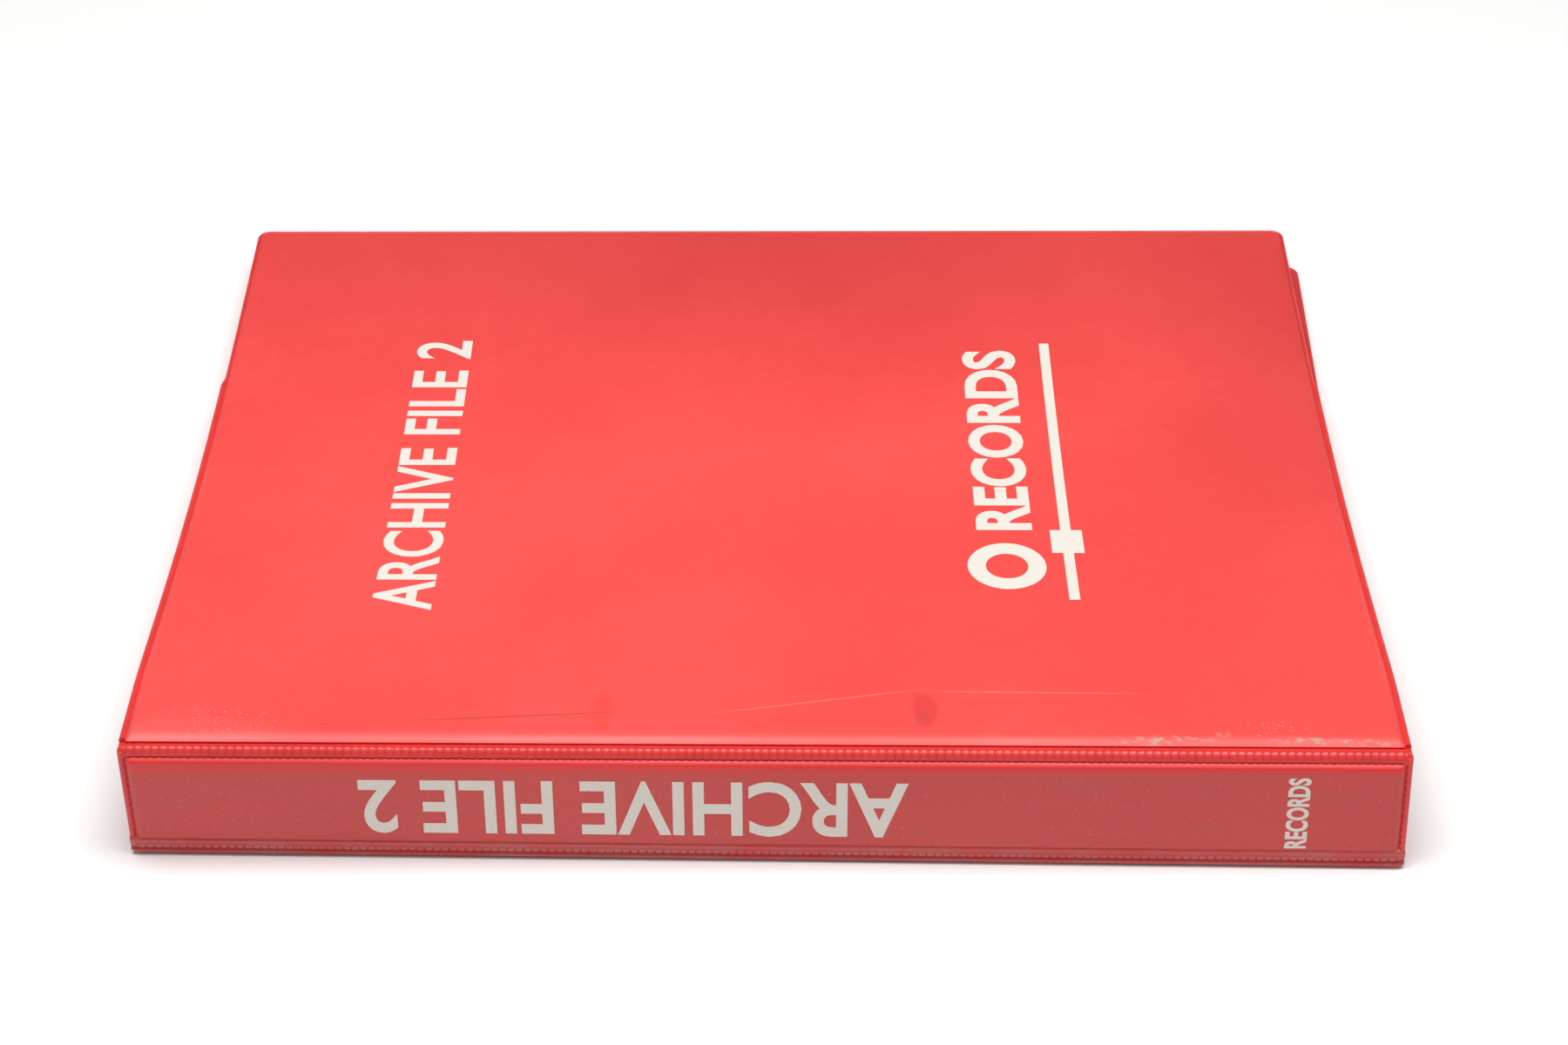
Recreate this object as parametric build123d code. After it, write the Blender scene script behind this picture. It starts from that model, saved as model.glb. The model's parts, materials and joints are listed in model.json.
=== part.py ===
"""Slim lever arch file: three vinyl-covered board panels and a two-post lever arch mechanism.

Millimetres, +Z up.  The file lies closed on its back cover.  X runs along the spine, Y runs from
the spine to the fore-edge.  The sub-parts are drawn with Y = 0 on the outer face of the spine, and
are moved by half the cover depth when they are written, so that the origin is under the middle.
"""
import os
from math import asin, cos, radians, sin, tan

from build123d import *

# ---------------------------------------------------------------- driving dimensions
# the file
spine_length = 315.0        # head to tail, along the spine
cover_depth = 270.0         # outer face of the spine to the fore-edge
file_thickness = 34.0       # closed, at the spine
cover_slope = 4.4           # degrees that the closed front cover falls towards the fore-edge
corner_radius = 4.5         # the two free corners of each cover
hinge_corner_radius = 1.0   # corners beside a hinge

# vinyl and board
vinyl_thickness = 0.4       # one sheet
board_thickness = 2.0
rim_width = 3.0             # welded rim outside the board
rim_chamfer = 0.8           # softened outer edge of a welded panel
board_fit = 0.1             # board to its vinyl sleeve, each side
hinge_inset = 0.8           # both hinge axes lie this far inside the outer faces
back_web_height = 4.4       # ribbed hinge weld, from the back hinge axis up to the spine panel
front_web_height = 2.4      # from the front hinge axis down to the spine panel
front_web_depth = 3.4       # from the front hinge axis to the front cover
back_cover_fit = 0.2        # back cover to the spine's hinge weld
web_fit = 0.3               # hinge weld to the next panel
pocket_width = 220.0        # sleeve inside the front cover, along the spine
pocket_depth = 140.0
pocket_edge_gap = 12.0      # pocket to the fore-edge
pocket_thickness = 0.3

# mechanism, on the inside of the back cover
hole_spacing = 80.0         # standard two-hole punching
wire_diameter = 3.0
arch_radius = 9.3           # centre line of the arch
arch_leg = 9.0              # arch axle to the start of the round top
axle_from_spine = 15.5      # arch axle to the outer face of the spine
axle_lift = 0.15            # axle wire above the base plate
arch_bend = 3.0             # inner bends of the wire, centre line
arch_top_flat = 0.5
nib_length = 2.0
nib_tip_diameter = 1.4
nib_shoulder = 1.5          # straight wire between the arch and its nib

plate_thickness = 1.0
plate_overhang = 24.0       # base plate beyond the post centres, along the spine
plate_margin = 6.0          # base plate beyond the post centres, towards the fore-edge
plate_from_spine = 3.8      # base plate edge to the outer face of the spine
plate_corner = 5.0
lug_thickness = 1.2
lug_width = 5.0
lug_wall = 1.3              # material over the axle
lug_top_flat = 1.2
axle_fit = 0.08             # running clearance, radial

post_diameter = 4.4
post_spigot = 3.0
post_mouth = 3.9            # funnel that receives the nib
post_mouth_bottom = 1.8
post_mouth_depth = 2.6
post_overlap = 0.2          # wire shoulder below the top of the post

lever_pivot_x = -10.0
lever_pivot_drop = 0.6      # lever pivot below the top of the closed crank
lever_to_arch = 13.8        # end of the lever to the middle of the right arch
lever_droop = 6.0           # degrees that the closed lever falls towards its end
lever_sheet = 0.8
lever_inner_width = 6.0
lever_pin_diameter = 3.0
lever_boss_radius = 3.0
lever_end_radius = 2.0
lever_from_spine = 8.7      # middle of the lever to the outer face of the spine
bracket_sheet = 0.9
bracket_fit = 0.1           # lever cheek to bracket cheek
bracket_width = 8.0

crank_length = 8.0          # throw of the crank in the arch wire
crank_angle = 45.0          # degrees above level, pointing at the spine, when closed
crank_bend = 2.5
crank_before = 5.0          # crank ends before and after the middle of the roller
crank_after = 4.2
roller_radius = 2.5
roller_arm = 11.3           # lever pivot to roller
roller_gap = 0.45           # roller to crank, closed
roller_pin_diameter = 1.6
roller_boss_radius = 1.9
pin_fit = 0.06              # running clearance of lever and roller pins, radial
roller_side_fit = 0.2
roller_chamfer = 0.3
pin_head = 0.4

grip_length = 17.0
grip_wall = 0.7

bar_overhang = 12.0         # bar beyond the post centres
bar_width = 11.0
bar_thickness = 1.2
bar_lift = 0.2              # compressor bar above the base plate
bar_fit = 0.15              # bar to post, radial
bar_lip = 2.0
collar_diameter = 8.4
collar_height = 2.2
collar_fit = 0.05

rivet_diameter = 4.2
rivet_head_diameter = 8.0
rivet_head_height = 0.8
rivet_inset = 7.0           # rivet to the end of the base plate
rivet_edge = 4.9            # rivet to the long edge of the base plate
rivet_fit = 0.05
washer_diameter = 9.5
washer_thickness = 0.6
washer_recess = 0.15        # washer inside the outer face of the back cover

# ---------------------------------------------------------------- places that follow from them
panel_thickness = board_thickness + 2 * vinyl_thickness
panel_seam = panel_thickness / 2
front_axis_z = file_thickness - hinge_inset
back_panel_start = 2 * hinge_inset + back_cover_fit
front_panel_start = hinge_inset + front_web_depth
spine_panel_bottom = hinge_inset + back_web_height
spine_panel_top = front_axis_z - front_web_height

plate_top = panel_thickness + plate_thickness
axle_y = axle_from_spine
axle_z = plate_top + axle_lift + wire_diameter / 2
post_y = axle_y + 2 * arch_radius
arch_shoulder_z = axle_z + arch_leg
nib_top_z = arch_shoulder_z - nib_shoulder
post_top_z = nib_top_z + post_overlap
plate_start = plate_from_spine
plate_length = hole_spacing + 2 * plate_overhang
plate_end = post_y + plate_margin
lug_top = axle_z + wire_diameter / 2 + lug_wall
lug_x = hole_spacing / 2 - arch_bend - lug_thickness

crank_y = axle_y - crank_length * cos(radians(crank_angle))
crank_z = axle_z + crank_length * sin(radians(crank_angle))
pivot_z = crank_z + wire_diameter / 2 - lever_pivot_drop
roller_z = crank_z + wire_diameter / 2 + roller_gap + roller_radius
roller_x = lever_pivot_x - roller_arm * cos(asin((roller_z - pivot_z) / roller_arm))
lever_end_x = hole_spacing / 2 - lever_to_arch
lever_end_z = pivot_z - (lever_end_x - lever_pivot_x) * tan(radians(lever_droop))
lever_outer_width = lever_inner_width + 2 * lever_sheet
bar_bottom = plate_top + bar_lift
bar_top = bar_bottom + bar_thickness
bar_length = hole_spacing + 2 * bar_overhang


# ---------------------------------------------------------------- helpers
def block(x0, x1, y0, y1, z0, z1):
    """A box between two corners."""
    return Pos((x0 + x1) / 2, (y0 + y1) / 2, (z0 + z1) / 2) * Box(x1 - x0, y1 - y0, z1 - z0)


def rod_z(x, y, z0, z1, diameter):
    """A round rod along Z."""
    return Pos(x, y, (z0 + z1) / 2) * Cylinder(diameter / 2, z1 - z0)


def rod_y(x, z, y0, y1, diameter):
    """A round rod along Y."""
    return Pos(x, (y0 + y1) / 2, z) * Rot(90, 0, 0) * Cylinder(diameter / 2, y1 - y0)


def rod_x(y, z, x0, x1, diameter):
    """A round rod along X."""
    return Pos((x0 + x1) / 2, y, z) * Rot(0, 90, 0) * Cylinder(diameter / 2, x1 - x0)


def link_profile(x0, z0, r0, x1, z1, r1):
    """The outline of a link between two round ends, in the XZ plane, as a flat face."""
    ends = [Pos(x0, z0) * Circle(r0), Pos(x1, z1) * Circle(r1)]
    return make_hull([edge for end in ends for edge in end.edges()])


def extrude_y(profile, y0, y1):
    """An XZ outline made solid from y0 to y1."""
    upright = Rot(90, 0, 0) * profile
    return Pos(0, y0, 0) * extrude(upright, amount=y1 - y0, dir=(0, 1, 0))


def write(name, solids):
    """Shift a sub-part to the file's own origin and write it under its name."""
    parts = [Pos(0, -cover_depth / 2, 0) * solid for solid in solids]
    shape = parts[0] if len(parts) == 1 else Compound(children=parts)
    shape.label = name
    export_step(shape, f"parts/{name}.step")


# ---------------------------------------------------------------- vinyl panels
def prism(depth, free_radius, inset, z0, z1):
    """A plate of the panel's outline, smaller by inset; free_radius rounds its two far corners."""
    half = spine_length / 2 - inset
    plate = block(-half, half, inset, depth - inset, z0, z1)
    far = plate.edges().filter_by(Axis.Z).filter_by(lambda edge: edge.center().Y > depth / 2)
    plate = fillet(far, max(free_radius - inset, hinge_corner_radius))
    near = plate.edges().filter_by(Axis.Z).filter_by(lambda edge: edge.center().Y < depth / 2)
    return fillet(near, hinge_corner_radius)


def welded_panel(depth, free_radius):
    """Outer sheet, board and inner sheet of one panel, outer face down on Z = 0."""
    outer = prism(depth, free_radius, 0, 0, panel_seam)
    outer = chamfer(outer.faces().sort_by(Axis.Z)[0].edges(), rim_chamfer)
    inner = prism(depth, free_radius, 0, panel_seam, panel_thickness)
    inner = chamfer(inner.faces().sort_by(Axis.Z)[-1].edges(), rim_chamfer)
    low = vinyl_thickness
    high = panel_thickness - vinyl_thickness
    sleeve = prism(depth, free_radius, rim_width, low, high)
    board = prism(depth, free_radius, rim_width + board_fit, low, high)
    return outer - sleeve, board, inner - sleeve


def back_cover():
    """Back cover, lying on its outer face, with holes for the rivets of the mechanism."""
    skin, board, liner = welded_panel(cover_depth - back_panel_start, corner_radius)
    skin, board, liner = [Pos(0, back_panel_start, 0) * part for part in (skin, board, liner)]
    recess = washer_recess + washer_thickness
    for x, y in rivet_places():
        hole = rod_z(x, y, 0, panel_thickness, rivet_diameter + 2 * rivet_fit)
        seat = rod_z(x, y, 0, recess, washer_diameter + 2 * rivet_fit)
        skin = skin - hole - seat
        board = board - hole - seat
        liner = liner - hole
    return skin, board, liner


def tilt_front(part):
    """Let a sub-part of the front cover fall to its closed slope about the front hinge."""
    axis = Axis((0, hinge_inset, front_axis_z), (1, 0, 0))
    return part.rotate(axis, -cover_slope)


def front_cover():
    """Front cover, outer face up, with the pocket on its inner face."""
    parts = welded_panel(cover_depth - front_panel_start, corner_radius)
    parts = [Pos(0, front_panel_start, file_thickness) * mirror(part, about=Plane.XY) for part in parts]
    inner_face = file_thickness - panel_thickness
    pocket_end = cover_depth - pocket_edge_gap
    pocket = block(-pocket_width / 2, pocket_width / 2, pocket_end - pocket_depth, pocket_end,
                   inner_face - pocket_thickness, inner_face)
    pocket = chamfer(pocket.edges().filter_by(Axis.Z), pocket_depth / 8)
    return [tilt_front(part) for part in (*parts, pocket)]


def spine_panel():
    """Spine, standing upright with its outer face on Y = 0."""
    parts = welded_panel(spine_panel_top - spine_panel_bottom, hinge_corner_radius)
    return [Pos(0, 0, spine_panel_bottom) * mirror(Rot(90, 0, 0) * part, about=Plane.XZ) for part in parts]


def back_hinge_weld():
    """Hinge weld below the spine panel, in the plane of the spine."""
    half = spine_length / 2
    return block(-half, half, 0, hinge_inset, hinge_inset / 2, spine_panel_bottom - web_fit / 2)


def front_hinge_weld():
    """Hinge weld above the spine panel, slanting back to the edge of the front cover."""
    low = spine_panel_top + web_fit
    high = file_thickness - hinge_inset / 2
    far = front_panel_start - web_fit
    near = hinge_inset / 4
    outline = Polyline(
        (0, near, low), (0, near + hinge_inset, low), (0, far, high - hinge_inset), (0, far, high),
        (0, far - hinge_inset, high), close=True)
    strip = extrude(make_face(outline), amount=spine_length, dir=(1, 0, 0))
    return tilt_front(Pos(-spine_length / 2, 0, 0) * strip)


# ---------------------------------------------------------------- mechanism
def rivet_places():
    """Centres of the four rivets."""
    x = plate_length / 2 - rivet_inset
    return [(sx * x, y) for sx in (-1, 1) for y in (plate_start + rivet_edge, plate_end - rivet_edge)]


def base_plate():
    """Pressed base plate with lugs for the arch axle and a bracket for the lever."""
    half = plate_length / 2
    plate = block(-half, half, plate_start, plate_end, panel_thickness, plate_top)
    plate = fillet(plate.edges().filter_by(Axis.Z), plate_corner)
    plate = chamfer(plate.faces().sort_by(Axis.Z)[-1].edges(), plate_thickness / 4)
    for x in (-lug_x, 0, lug_x):
        lug = block(x - lug_thickness / 2, x + lug_thickness / 2, axle_y - lug_width / 2,
                    axle_y + lug_width / 2, panel_thickness, lug_top)
        top_edges = lug.edges().filter_by(Axis.X).sort_by(Axis.Z)[-2:]
        lug = fillet(top_edges, (lug_width - lug_top_flat) / 2)
        plate = plate + lug
    inner = lever_outer_width / 2 + bracket_fit
    for y0 in (lever_from_spine - inner - bracket_sheet, lever_from_spine + inner):
        foot = Pos(lever_pivot_x, panel_thickness) * Circle(bracket_width / 2)
        head = Pos(lever_pivot_x, pivot_z) * Circle(lever_boss_radius)
        cheek = extrude_y(make_hull([*foot.edges(), *head.edges()]), y0, y0 + bracket_sheet)
        cheek = cheek & block(-half, half, 0, plate_end, panel_thickness, 3 * pivot_z)
        plate = plate + cheek
    plate = plate - rod_x(axle_y, axle_z, -half, half, wire_diameter + 2 * axle_fit)
    plate = plate - rod_y(lever_pivot_x, pivot_z, 0, axle_y, lever_pin_diameter)
    for x in (-hole_spacing / 2, hole_spacing / 2):
        plate = plate - rod_z(x, post_y, panel_thickness, plate_top, post_spigot)
    for x, y in rivet_places():
        plate = plate - rod_z(x, y, panel_thickness, plate_top, rivet_diameter + 2 * rivet_fit)
    return plate


def post(x):
    """Fixed post with a funnel mouth, staked into the base plate."""
    body = rod_z(x, post_y, plate_top, post_top_z, post_diameter)
    body = body + rod_z(x, post_y, panel_thickness, plate_top, post_spigot)
    mouth = Pos(x, post_y, post_top_z - post_mouth_depth / 2) * Cone(
        post_mouth_bottom / 2, post_mouth / 2, post_mouth_depth)
    return body - mouth


def arch_wire():
    """Both arches, their axle and the crank, bent from one wire."""
    half = hole_spacing / 2
    top = arch_shoulder_z + arch_radius
    round_top = arch_radius - arch_top_flat / 2
    crank_from = roller_x - crank_before
    crank_to = roller_x + crank_after
    points = [
        (-half, post_y, nib_top_z), (-half, post_y, top), (-half, axle_y, top), (-half, axle_y, axle_z),
        (crank_from, axle_y, axle_z), (crank_from, crank_y, crank_z),
        (crank_to, crank_y, crank_z), (crank_to, axle_y, axle_z),
        (half, axle_y, axle_z), (half, axle_y, top), (half, post_y, top), (half, post_y, nib_top_z)]
    bends = [round_top, round_top, arch_bend, crank_bend, crank_bend, crank_bend, crank_bend,
             arch_bend, round_top, round_top]
    path = FilletPolyline(*points, radius=bends)
    start = Plane(origin=points[0], z_dir=(0, 0, 1))
    wire = sweep(start * Circle(wire_diameter / 2), path=path)
    for x in (-half, half):
        nib = Pos(x, post_y, nib_top_z - nib_length / 2) * Cone(
            nib_tip_diameter / 2, wire_diameter / 2, nib_length)
        wire = wire + nib
    return wire


def lever():
    """Channel-section lever: a roller arm, the pivot and a long arm that ends in the grip."""
    roller_end = link_profile(roller_x, roller_z, roller_boss_radius, lever_pivot_x, pivot_z,
                              lever_boss_radius)
    grip_end = link_profile(lever_pivot_x, pivot_z, lever_boss_radius, lever_end_x, lever_end_z,
                            lever_end_radius)
    y0 = lever_from_spine - lever_outer_width / 2
    y1 = lever_from_spine + lever_outer_width / 2
    body = extrude_y(roller_end, y0, y1) + extrude_y(grip_end, y0, y1)
    channel = Pos(0, 0, -lever_sheet) * extrude_y(grip_end, y0 + lever_sheet, y1 - lever_sheet)
    tail = block(roller_x - 3 * roller_radius, lever_pivot_x - lever_boss_radius / 2, y0 + lever_sheet,
                 y1 - lever_sheet, 0, 3 * pivot_z)
    underside = block(roller_x, lever_end_x + lever_boss_radius, y0 + lever_sheet, y1 - lever_sheet, 0,
                      lever_end_z - lever_end_radius / 2)
    body = body - channel - tail - underside
    body = body - rod_y(lever_pivot_x, pivot_z, y0, y1, lever_pin_diameter + 2 * pin_fit)
    return body - rod_y(roller_x, roller_z, y0, y1, roller_pin_diameter)


def lever_pin():
    """Pivot pin of the lever, fixed in the bracket, with a flat head at each end."""
    inner = lever_outer_width / 2 + bracket_fit + bracket_sheet
    y0 = lever_from_spine - inner
    y1 = lever_from_spine + inner
    pin = rod_y(lever_pivot_x, pivot_z, y0, y1, lever_pin_diameter)
    for start in (y0 - pin_head, y1):
        pin = pin + rod_y(lever_pivot_x, pivot_z, start, start + pin_head, 1.5 * lever_pin_diameter)
    return pin


def roller():
    """Roller that presses on the crank of the arch wire."""
    half = lever_inner_width / 2 - roller_side_fit
    body = rod_y(roller_x, roller_z, lever_from_spine - half, lever_from_spine + half, 2 * roller_radius)
    body = chamfer(body.edges(), roller_chamfer)
    hole = roller_pin_diameter + 2 * pin_fit
    return body - rod_y(roller_x, roller_z, 0, axle_y, hole)


def roller_pin():
    """Pin that carries the roller between the cheeks of the lever."""
    half = lever_outer_width / 2
    return rod_y(roller_x, roller_z, lever_from_spine - half, lever_from_spine + half, roller_pin_diameter)


def lever_grip():
    """Moulded grip, pushed over the end of the lever."""
    slope = radians(lever_droop)
    start_x = lever_end_x - grip_length
    start_z = lever_end_z + grip_length * tan(slope)
    outline = link_profile(start_x, start_z, lever_boss_radius + grip_wall, lever_end_x, lever_end_z,
                           lever_end_radius + grip_wall)
    half = lever_outer_width / 2 + grip_wall
    grip = extrude_y(outline, lever_from_spine - half, lever_from_spine + half)
    sides = grip.faces().filter_by(Axis.Y)
    grip = chamfer(sides.edges(), grip_wall / 2)
    socket = link_profile(lever_pivot_x, pivot_z, lever_boss_radius, lever_end_x, lever_end_z,
                          lever_end_radius)
    half = lever_outer_width / 2
    return grip - extrude_y(socket, lever_from_spine - half, lever_from_spine + half)


def compressor_bar():
    """Bar that holds the sheets down, sliding on both posts, with a lip at each end for a finger."""
    half = bar_length / 2
    bar = block(-half, half, post_y - bar_width / 2, post_y + bar_width / 2, bar_bottom, bar_top)
    bar = fillet(bar.edges().filter_by(Axis.Z), bar_width / 4)
    for side in (-1, 1):
        lip = block(side * half - bar_thickness / 2, side * half + bar_thickness / 2,
                    post_y - bar_width / 4, post_y + bar_width / 4, bar_bottom, bar_top + bar_lip)
        bar = bar + Pos(-side * bar_thickness / 2, 0, 0) * lip
    for x in (-hole_spacing / 2, hole_spacing / 2):
        bar = bar - rod_z(x, post_y, bar_bottom, bar_top, post_diameter + 2 * bar_fit)
    return bar


def compressor_collar(x):
    """Moulded collar that grips a post and carries the bar."""
    collar = rod_z(x, post_y, bar_top, bar_top + collar_height, collar_diameter)
    collar = chamfer(collar.faces().sort_by(Axis.Z)[-1].edges(), collar_height / 5)
    return collar - rod_z(x, post_y, bar_top, bar_top + collar_height, post_diameter + 2 * collar_fit)


def rivet(x, y):
    """Rivet through the base plate and the back cover."""
    shank = rod_z(x, y, washer_recess, plate_top, rivet_diameter)
    head = rod_z(x, y, plate_top, plate_top + rivet_head_height, rivet_head_diameter)
    return shank + chamfer(head.faces().sort_by(Axis.Z)[-1].edges(), rivet_head_height / 2)


def rivet_washer(x, y):
    """Washer sunk in the outer face of the back cover, under the closed end of a rivet."""
    body = rod_z(x, y, washer_recess, washer_recess + washer_thickness, washer_diameter)
    return body - rod_z(x, y, 0, panel_thickness, rivet_diameter + 2 * rivet_fit)


# ---------------------------------------------------------------- write every sub-part
os.makedirs("parts", exist_ok=True)

for cover, parts in (("back_cover", back_cover()), ("spine", spine_panel())):
    for layer, part in zip(("skin", "board", "liner"), parts):
        write(f"{cover}_{layer}", [part])
for layer, part in zip(("skin", "board", "liner", "pocket"), front_cover()):
    write(f"front_cover_{layer}", [part])
write("back_hinge_weld", [back_hinge_weld()])
write("front_hinge_weld", [front_hinge_weld()])

write("base_plate", [base_plate()])
write("left_post", [post(-hole_spacing / 2)])
write("right_post", [post(hole_spacing / 2)])
write("arch_wire", [arch_wire()])
write("lever", [lever()])
write("lever_pin", [lever_pin()])
write("lever_grip", [lever_grip()])
write("roller", [roller()])
write("roller_pin", [roller_pin()])
write("compressor_bar", [compressor_bar()])
write("compressor_collars", [compressor_collar(x) for x in (-hole_spacing / 2, hole_spacing / 2)])
write("rivets", [rivet(x, y) for x, y in rivet_places()])
write("rivet_washers", [rivet_washer(x, y) for x, y in rivet_places()])
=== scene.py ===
"""A slim lever arch file in red vinyl, laid closed on its back cover, built round its packed frame.

Lengths are metres in the frame's own axes: X along the spine, Y from the spine to the fore-edge, Z up.
A cover is drawn in panel coordinates (x, s, n): s runs from its hinge edge, n stands out of its outer face.
"""
import json
from math import cos, pi, radians, sin

import bmesh
import bpy
import numpy as np
from bpy.props import FloatProperty, FloatVectorProperty, PointerProperty, StringProperty
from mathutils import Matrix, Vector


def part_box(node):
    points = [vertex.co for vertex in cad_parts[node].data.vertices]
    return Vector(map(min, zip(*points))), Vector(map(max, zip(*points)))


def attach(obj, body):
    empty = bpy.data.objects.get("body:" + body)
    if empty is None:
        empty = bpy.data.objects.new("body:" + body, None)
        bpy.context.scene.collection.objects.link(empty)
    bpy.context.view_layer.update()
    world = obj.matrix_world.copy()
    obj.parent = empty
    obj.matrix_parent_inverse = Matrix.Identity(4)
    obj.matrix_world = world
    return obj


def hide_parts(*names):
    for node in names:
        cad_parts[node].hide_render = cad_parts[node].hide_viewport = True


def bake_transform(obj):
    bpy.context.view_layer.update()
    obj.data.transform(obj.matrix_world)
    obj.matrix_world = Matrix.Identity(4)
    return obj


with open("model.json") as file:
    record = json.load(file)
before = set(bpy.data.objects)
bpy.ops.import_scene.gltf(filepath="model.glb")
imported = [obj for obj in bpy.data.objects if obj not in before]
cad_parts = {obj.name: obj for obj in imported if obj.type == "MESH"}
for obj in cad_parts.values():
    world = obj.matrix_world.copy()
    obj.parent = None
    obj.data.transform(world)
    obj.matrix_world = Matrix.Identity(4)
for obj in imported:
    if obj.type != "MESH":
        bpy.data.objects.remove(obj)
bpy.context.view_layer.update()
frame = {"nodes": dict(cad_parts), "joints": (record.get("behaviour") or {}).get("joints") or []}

bl_info = {
    "name": "Lever arch file",
    "version": (1, 0, 0),
    "blender": (4, 5, 0),
    "location": "View3D > Sidebar > Lever Arch File",
    "description": "Builds a vinyl-covered file with welded hinges and a lever arch mechanism",
    "category": "Object",
}

MM = 0.001
back_low, back_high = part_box("back_cover_skin")
joints = {joint["name"]: joint for joint in frame["joints"]}
HALF = back_high.x                                  # half the length of the spine
SPINE_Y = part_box("spine_skin")[0].y                 # outer face of the spine
FORE_Y = back_high.y                                # fore-edge
AXIS_Y, AXIS_Z = joints["front_hinge"]["pos_m"][1:]
AXIS_IN = AXIS_Y - SPINE_Y                          # hinge axis inside the outer faces
TOP = AXIS_Z + AXIS_IN                              # thickness of the closed file at the spine
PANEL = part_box("back_cover_liner")[1].z             # board and both sheets
BOARD_IN = 0.6 * MM                                 # faces of the board, inside those of the panel
BACK_START = back_low.y - SPINE_Y                   # hinge edge of the back cover, from the spine's face
FRONT_START = 0.0045                                # hinge edge of the front cover, from the spine's face
BACK_DEPTH = FORE_Y - SPINE_Y - BACK_START
FRONT_DEPTH = FORE_Y - SPINE_Y - FRONT_START
SPINE_FOOT, SPINE_HEAD = 5.0 * MM, 30.4 * MM        # lower and upper edge of the spine's padded face
INNER_SHARE = 0.8                                   # rounding of an inner face, as a share of the outer one's
PATH_STEP = 0.41 * MM                               # spacing of the sections along a rim weld

# Section of the rim weld in mm: inwards from the outline, and out of the outer face.
RIM_SECTION = [
    (2.5, -1.05), (2.2, -1.20), (1.95, -1.24), (1.7, -1.22), (1.5, -1.10), (1.32, -0.90), (1.12, -0.76),
    (0.88, -0.70), (0.60, -0.74), (0.34, -0.90), (0.12, -1.16), (0.0, -1.5), (0.10, -1.78), (0.34, -1.98),
    (0.7, -2.08), (1.2, -2.08), (1.7, -1.98), (2.1, -1.9), (2.5, -1.95)]
RIM_UPPER = 11                                      # points of the section before its outermost one

# Outer lines of the hinge welds in mm: inwards from the spine's outer face, and up from the table.
FRONT_WELD = [
    (1.9, 29.6), (1.6, 29.9), (1.25, 30.3), (1.25, 30.8), (1.35, 31.3), (1.6, 31.8), (1.95, 32.2),
    (2.4, 32.42), (2.8, 32.32), (3.2, 32.08), (3.7, 31.95), (4.5, 31.9), (5.4, 31.85), (6.0, 31.8)]
BACK_WELD = [
    (2.6, 1.1), (1.7, 0.55), (0.8, 0.36), (0.3, 0.6), (0.1, 0.95), (0.15, 1.3), (0.45, 1.6), (0.75, 1.85),
    (0.7, 2.1), (0.38, 2.45), (0.3, 2.9), (0.22, 3.4), (0.08, 3.9), (0.02, 4.3), (0.12, 4.7), (0.45, 5.0),
    (0.9, 5.3), (1.5, 5.6)]


def linear(code):
    """sRGB hex to linear RGBA: a channel c becomes ((c + 0.055) / 1.055) ** 2.4, or c / 12.92 when small."""
    channels = [int(code[i:i + 2], 16) / 255 for i in (1, 3, 5)]
    return tuple(c / 12.92 if c <= 0.04045 else ((c + 0.055) / 1.055) ** 2.4 for c in channels) + (1.0,)


def length(name, value, text):
    """A length property."""
    return FloatProperty(name=name, default=value, description=text, unit="LENGTH", precision=5)


def angle(name, value, text):
    """An angle property, given in degrees."""
    return FloatProperty(name=name, default=radians(value), description=text, subtype="ANGLE")


def colour(name, code, text):
    """A colour property, given as sRGB hex."""
    return FloatVectorProperty(
        name=name, default=linear(code), size=4, min=0, max=1, subtype="COLOR", description=text)


class CoverShape(bpy.types.PropertyGroup):
    """How the vinyl lies over the boards and how the closed file has settled."""
    slope: angle("Slope", 4.4, "Fall of the closed front cover towards the fore-edge")
    dish: length("Dish", 5.7 * MM, "Sag of the front cover between its edges")
    dish_start: length("Dish start", 24 * MM, "Where the sag begins, from the hinge edge")
    front_turn: angle("Front turn", 0.80, "Turn of the front cover about the vertical")
    back_turn: angle("Back turn", -0.27, "Turn of the back cover about the vertical")
    front_shift: length("Front shift", 1.35 * MM, "Front cover moved towards the fore-edge")
    back_shift: length("Back shift", -1.0 * MM, "Back cover moved away from the fore-edge")
    twist: length("Twist", -1.2 * MM, "Rise of the hinge edge at the right end, and fall at the left")
    sheet: length("Sheet", 0.4 * MM, "Thickness of one vinyl sheet")
    rim: length("Rim", 1.55 * MM, "Width of the welded rim outside the padded face")
    shoulder: length("Shoulder", 2.3 * MM, "Width of the rounded edge over the board")
    shoulder_drop: length("Shoulder drop", 1.25 * MM, "Depth of the rounded edge at the rim")
    hinge_shoulder: length("Hinge shoulder", 4.6 * MM, "Width of a cover's fuller rounding beside its hinge")
    spine_shoulder: length("Spine shoulder", 1.3 * MM, "Width of the rounding along the top of the spine")
    spine_drop: length("Spine drop", 1.4 * MM, "Depth of the rounding along the top of the spine")
    spine_foot: length("Spine foot", 0.35 * MM, "Depth of the slight rounding along the bottom of the spine")
    puff: length("Puff", 0.16 * MM, "Fullness of the vinyl just inside the rounded edge")
    ripple: length("Ripple", 0.10 * MM, "Slow waves in the vinyl")
    rim_step: length("Rim step", 0.75 * MM, "How much narrower the rim is towards the fore-edge")
    rim_step_at: length("Rim step place", 180 * MM, "Where the rim gets narrower, from the hinge edge")
    corner: length("Corner", 4.5 * MM, "Radius of the free corners")


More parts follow.
